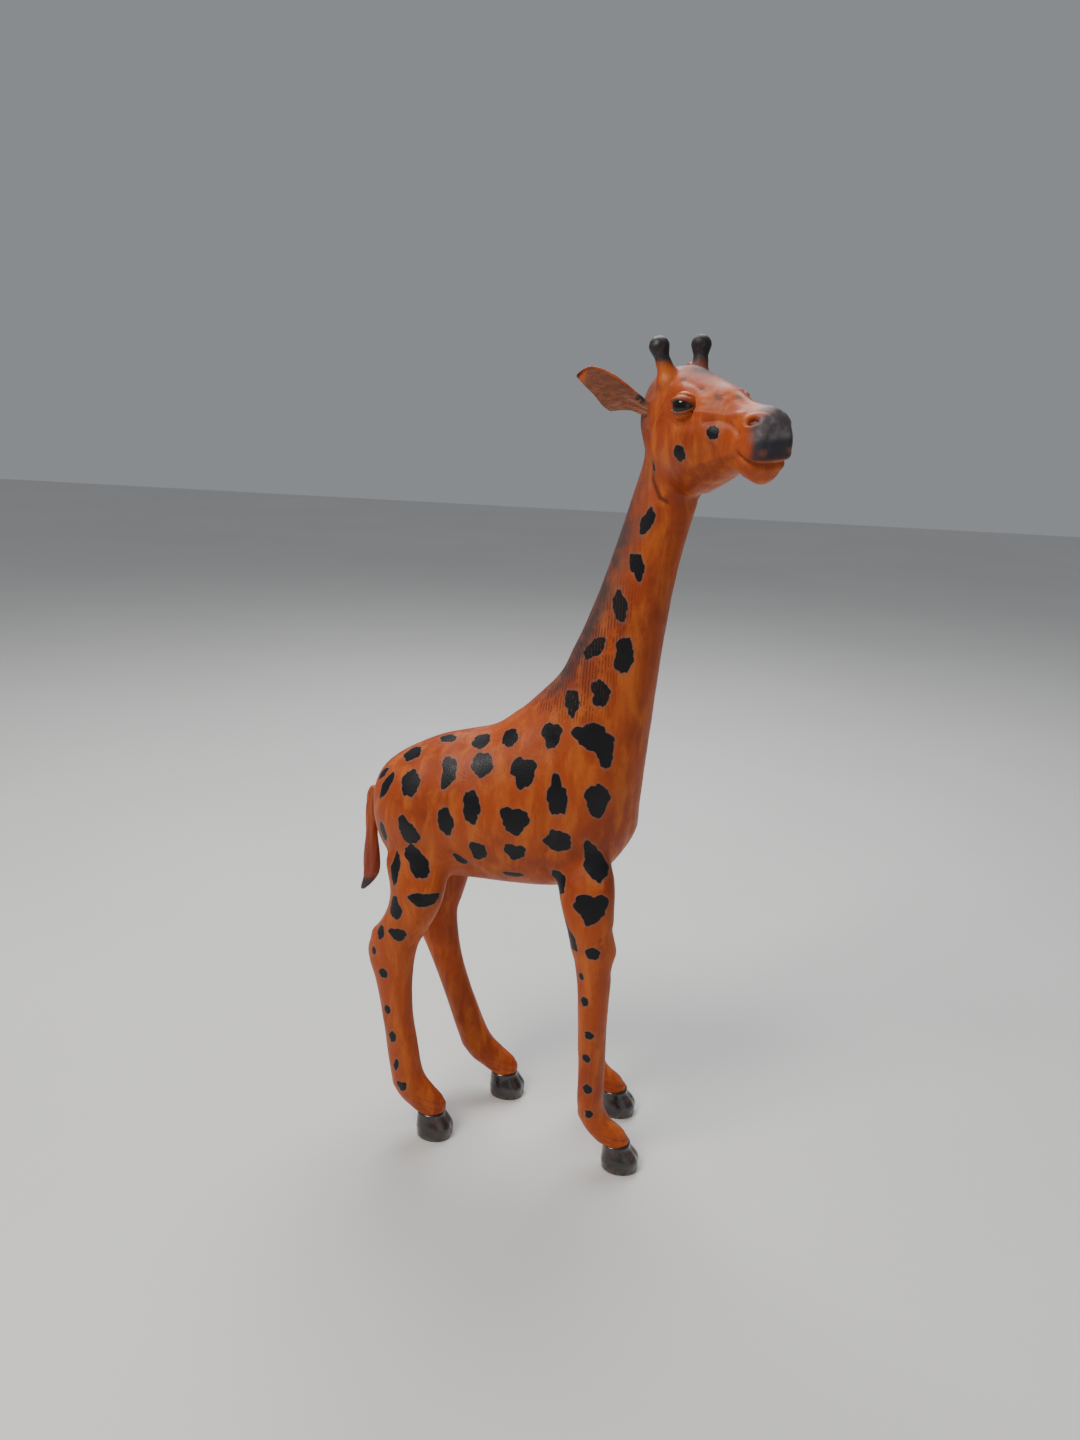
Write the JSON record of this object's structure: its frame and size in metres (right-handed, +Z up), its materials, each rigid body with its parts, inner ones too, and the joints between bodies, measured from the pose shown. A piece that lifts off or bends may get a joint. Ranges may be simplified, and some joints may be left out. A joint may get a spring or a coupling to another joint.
{
  "type": "giraffe figure",
  "caption": "Standing giraffe figure with its head turned to the right: wooden cores pegged together, covered in painted leather, on flat-soled hooves.",
  "frame": {"origin": "middle of the whole figure's footprint box, on the surface that the hooves stand on", "axes": "+X the way the body faces, +Y the giraffe's left side, +Z up"},
  "size_m": [0.185, 0.0834, 0.3748],
  "materials": {
    "core_wood": "sawn and rasped softwood",
    "peg_wood": "plain dowel",
    "tan_hide": "semi-gloss dyed leather with painted black spots",
    "dark_hide": "painted leather, satin",
    "hoof_paint": "gloss painted wood",
    "eye_glass": "polished black glass",
    "steel_wire": "drawn"
  },
  "bodies": {
    "root": {"front_left_hoof": "hoof_paint", "front_left_leg_core": "core_wood", "front_left_leg_dowel": "peg_wood", "front_left_leg_leather": "tan_hide", "front_right_hoof": "hoof_paint", "front_right_leg_core": "core_wood", "front_right_leg_dowel": "peg_wood", "front_right_leg_leather": "tan_hide", "head_core": "core_wood", "head_dowel": "peg_wood", "head_leather": "tan_hide", "left_ear": "tan_hide", "left_eye": "eye_glass", "left_ossicone_cover": "dark_hide", "left_ossicone_peg": "peg_wood", "neck_core": "core_wood", "neck_dowel": "peg_wood", "neck_leather": "tan_hide", "rear_left_hoof": "hoof_paint", "rear_left_leg_core": "core_wood", "rear_left_leg_dowel": "peg_wood", "rear_left_leg_leather": "tan_hide", "rear_right_hoof": "hoof_paint", "rear_right_leg_core": "core_wood", "rear_right_leg_dowel": "peg_wood", "rear_right_leg_leather": "tan_hide", "right_ear": "tan_hide", "right_eye": "eye_glass", "right_ossicone_cover": "dark_hide", "right_ossicone_peg": "peg_wood", "tail_leather": "tan_hide", "tail_tuft": "dark_hide", "tail_wire": "steel_wire", "torso_core": "core_wood", "trunk_leather": "tan_hide"}
  },
  "joints": []
}
